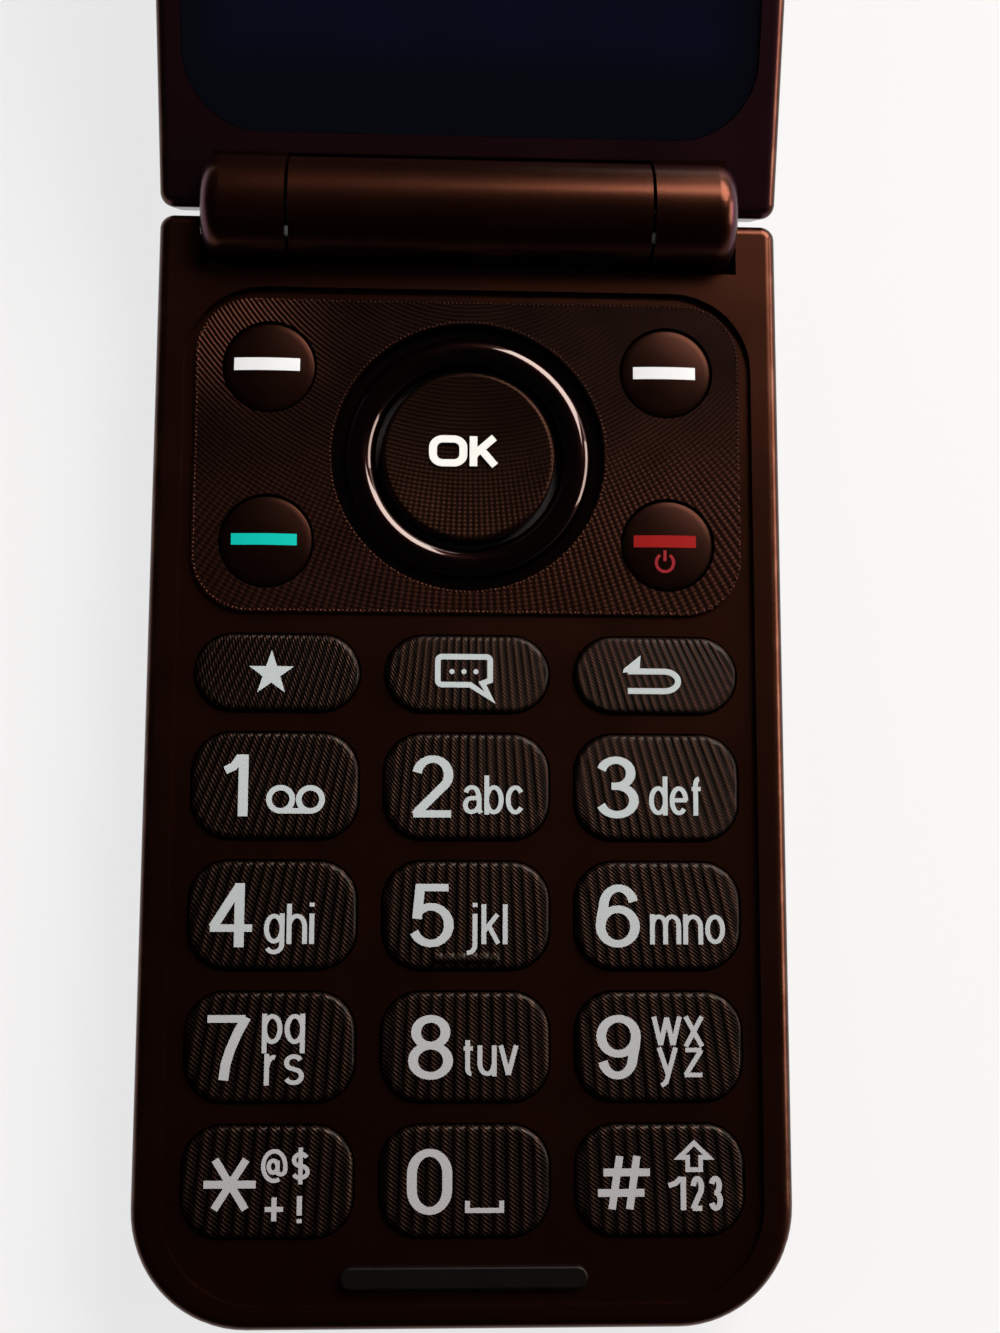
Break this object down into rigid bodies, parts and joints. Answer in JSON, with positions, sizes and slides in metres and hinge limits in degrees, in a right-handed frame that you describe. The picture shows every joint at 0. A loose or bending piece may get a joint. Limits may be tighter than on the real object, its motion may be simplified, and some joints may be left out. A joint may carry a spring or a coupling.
{
  "type": "feature phone",
  "caption": "Clamshell feature phone, shown open: keypad base with a round navigation ring, hinged display lid, removable battery and cover.",
  "frame": {"origin": "middle of the flat back of the base", "axes": "+X to the right with the keypad up, +Y towards the hinge and the open lid, +Z out of the keypad"},
  "size_m": [0.0554, 0.1877, 0.042],
  "materials": {
    "housing": "dark brown-black lacquered plastic",
    "cover": "fine matt dark plastic",
    "plate": "fine ribbed dark plate",
    "bar": "satin",
    "keycap": "dark ribbed keycaps with printed legends",
    "ok": "fine woven relief",
    "ring": "polished black",
    "rocker": "satin",
    "window": "clear acrylic, printed black behind",
    "display": "display glass",
    "rubber": "silicone",
    "board": "solder mask",
    "film": "polyimide film",
    "inner": "moulded",
    "metal": "plated",
    "cell": "printed film over a metal can"
  },
  "bodies": {
    "base": {"antenna": "inner", "base_front_housing": "housing", "base_rear_housing": "housing", "base_screws": "metal", "battery_contacts": "inner", "dome_sheet": "film", "headphone_jack": "inner", "hinge_cam_housing": "metal", "hinge_flex": "film", "keypad_mat": "rubber", "loudspeaker": "inner", "main_board": "board", "microphone": "inner", "nav_plate": "plate", "rest_bar": "bar", "sim_holder": "inner", "usb_connector": "metal", "vibration_motor": "metal"},
    "lid": {"lid_inner_frame": "housing", "lid_outer_cover": "housing", "main_lens": "window", "main_display": "display", "outer_lens": "window", "outer_display": "display", "earpiece": "inner", "earpiece_grille": "metal", "camera_module": "inner", "camera_lens": "window", "flash_lens": "window", "lid_board": "board", "lid_magnet": "metal", "lid_bumpers": "rubber", "lid_screws": "metal", "hinge_shaft": "metal", "hinge_pin": "metal"},
    "key_favourite": {"key_favourite": "keycap"},
    "key_message": {"key_message": "keycap"},
    "key_back": {"key_back": "keycap"},
    "key_1": {"key_1": "keycap"},
    "key_2": {"key_2": "keycap"},
    "key_3": {"key_3": "keycap"},
    "key_4": {"key_4": "keycap"},
    "key_5": {"key_5": "keycap"},
    "key_6": {"key_6": "keycap"},
    "key_7": {"key_7": "keycap"},
    "key_8": {"key_8": "keycap"},
    "key_9": {"key_9": "keycap"},
    "key_asterisk": {"key_asterisk": "keycap"},
    "key_0": {"key_0": "keycap"},
    "key_hash": {"key_hash": "keycap"},
    "soft_key_left": {"soft_key_left": "keycap"},
    "soft_key_right": {"soft_key_right": "keycap"},
    "call_key": {"call_key": "keycap"},
    "end_key": {"end_key": "keycap"},
    "ok_key": {"ok_key": "ok"},
    "nav_ring": {"nav_ring": "ring"},
    "nav_ring_carrier": {"nav_ring_carrier": "inner"},
    "volume_rocker": {"volume_rocker": "rocker"},
    "battery": {"battery": "cell"},
    "battery_cover": {"battery_cover": "cover"}
  },
  "joints": [
    {"name": "lid_hinge", "type": "hinge", "parent": "base", "child": "lid", "pos_m": [0, 0.04773, 0.0095], "axis": [1, 0, 0], "range_deg": [0, 160]},
    {"name": "key_favourite_press", "type": "slide", "parent": "base", "child": "key_favourite", "axis": [0, 0, -1], "range_m": [0, 0.00035], "stiffness_N_per_m": 300, "springref_m": -0.0001},
    {"name": "key_message_press", "type": "slide", "parent": "base", "child": "key_message", "axis": [0, 0, -1], "range_m": [0, 0.00035], "stiffness_N_per_m": 300, "springref_m": -0.0001},
    {"name": "key_back_press", "type": "slide", "parent": "base", "child": "key_back", "axis": [0, 0, -1], "range_m": [0, 0.00035], "stiffness_N_per_m": 300, "springref_m": -0.0001},
    {"name": "key_1_press", "type": "slide", "parent": "base", "child": "key_1", "axis": [0, 0, -1], "range_m": [0, 0.00035], "stiffness_N_per_m": 300, "springref_m": -0.0001},
    {"name": "key_2_press", "type": "slide", "parent": "base", "child": "key_2", "axis": [0, 0, -1], "range_m": [0, 0.00035], "stiffness_N_per_m": 300, "springref_m": -0.0001},
    {"name": "key_3_press", "type": "slide", "parent": "base", "child": "key_3", "axis": [0, 0, -1], "range_m": [0, 0.00035], "stiffness_N_per_m": 300, "springref_m": -0.0001},
    {"name": "key_4_press", "type": "slide", "parent": "base", "child": "key_4", "axis": [0, 0, -1], "range_m": [0, 0.00035], "stiffness_N_per_m": 300, "springref_m": -0.0001},
    {"name": "key_5_press", "type": "slide", "parent": "base", "child": "key_5", "axis": [0, 0, -1], "range_m": [0, 0.00035], "stiffness_N_per_m": 300, "springref_m": -0.0001},
    {"name": "key_6_press", "type": "slide", "parent": "base", "child": "key_6", "axis": [0, 0, -1], "range_m": [0, 0.00035], "stiffness_N_per_m": 300, "springref_m": -0.0001},
    {"name": "key_7_press", "type": "slide", "parent": "base", "child": "key_7", "axis": [0, 0, -1], "range_m": [0, 0.00035], "stiffness_N_per_m": 300, "springref_m": -0.0001},
    {"name": "key_8_press", "type": "slide", "parent": "base", "child": "key_8", "axis": [0, 0, -1], "range_m": [0, 0.00035], "stiffness_N_per_m": 300, "springref_m": -0.0001},
    {"name": "key_9_press", "type": "slide", "parent": "base", "child": "key_9", "axis": [0, 0, -1], "range_m": [0, 0.00035], "stiffness_N_per_m": 300, "springref_m": -0.0001},
    {"name": "key_asterisk_press", "type": "slide", "parent": "base", "child": "key_asterisk", "axis": [0, 0, -1], "range_m": [0, 0.00035], "stiffness_N_per_m": 300, "springref_m": -0.0001},
    {"name": "key_0_press", "type": "slide", "parent": "base", "child": "key_0", "axis": [0, 0, -1], "range_m": [0, 0.00035], "stiffness_N_per_m": 300, "springref_m": -0.0001},
    {"name": "key_hash_press", "type": "slide", "parent": "base", "child": "key_hash", "axis": [0, 0, -1], "range_m": [0, 0.00035], "stiffness_N_per_m": 300, "springref_m": -0.0001},
    {"name": "soft_key_left_press", "type": "slide", "parent": "base", "child": "soft_key_left", "axis": [0, 0, -1], "range_m": [0, 0.00035], "stiffness_N_per_m": 300, "springref_m": -0.0001},
    {"name": "soft_key_right_press", "type": "slide", "parent": "base", "child": "soft_key_right", "axis": [0, 0, -1], "range_m": [0, 0.00035], "stiffness_N_per_m": 300, "springref_m": -0.0001},
    {"name": "call_key_press", "type": "slide", "parent": "base", "child": "call_key", "axis": [0, 0, -1], "range_m": [0, 0.00035], "stiffness_N_per_m": 300, "springref_m": -0.0001},
    {"name": "end_key_press", "type": "slide", "parent": "base", "child": "end_key", "axis": [0, 0, -1], "range_m": [0, 0.00035], "stiffness_N_per_m": 300, "springref_m": -0.0001},
    {"name": "ok_key_press", "type": "slide", "parent": "base", "child": "ok_key", "axis": [0, 0, -1], "range_m": [0, 0.00035], "stiffness_N_per_m": 300, "springref_m": -0.0001},
    {"name": "nav_tilt_up_down", "type": "hinge", "parent": "base", "child": "nav_ring_carrier", "pos_m": [0, 0.02584, 0.0074], "axis": [1, 0, 0], "range_deg": [-1.1, 1.1], "stiffness_Nm_per_rad": 0.1},
    {"name": "nav_tilt_left_right", "type": "hinge", "parent": "nav_ring_carrier", "child": "nav_ring", "pos_m": [0, 0.02584, 0.0074], "axis": [0, 1, 0], "range_deg": [-1.1, 1.1], "stiffness_Nm_per_rad": 0.1},
    {"name": "volume_rock", "type": "hinge", "parent": "base", "child": "volume_rocker", "pos_m": [-0.0263, 0.01573, 0.00407], "axis": [0, 0, 1], "range_deg": [-2.5, 2.5], "stiffness_Nm_per_rad": 0.1},
    {"name": "battery_cover_off", "type": "slide", "parent": "base", "child": "battery_cover", "axis": [0, 0, -1], "range_m": [0, 0.02]},
    {"name": "battery_out", "type": "slide", "parent": "base", "child": "battery", "axis": [0, 0, -1], "range_m": [0, 0.008]}
  ],
  "couplings": [
    {"joint": "battery_out", "follows": "battery_cover_off", "ratio": 0.4}
  ]
}
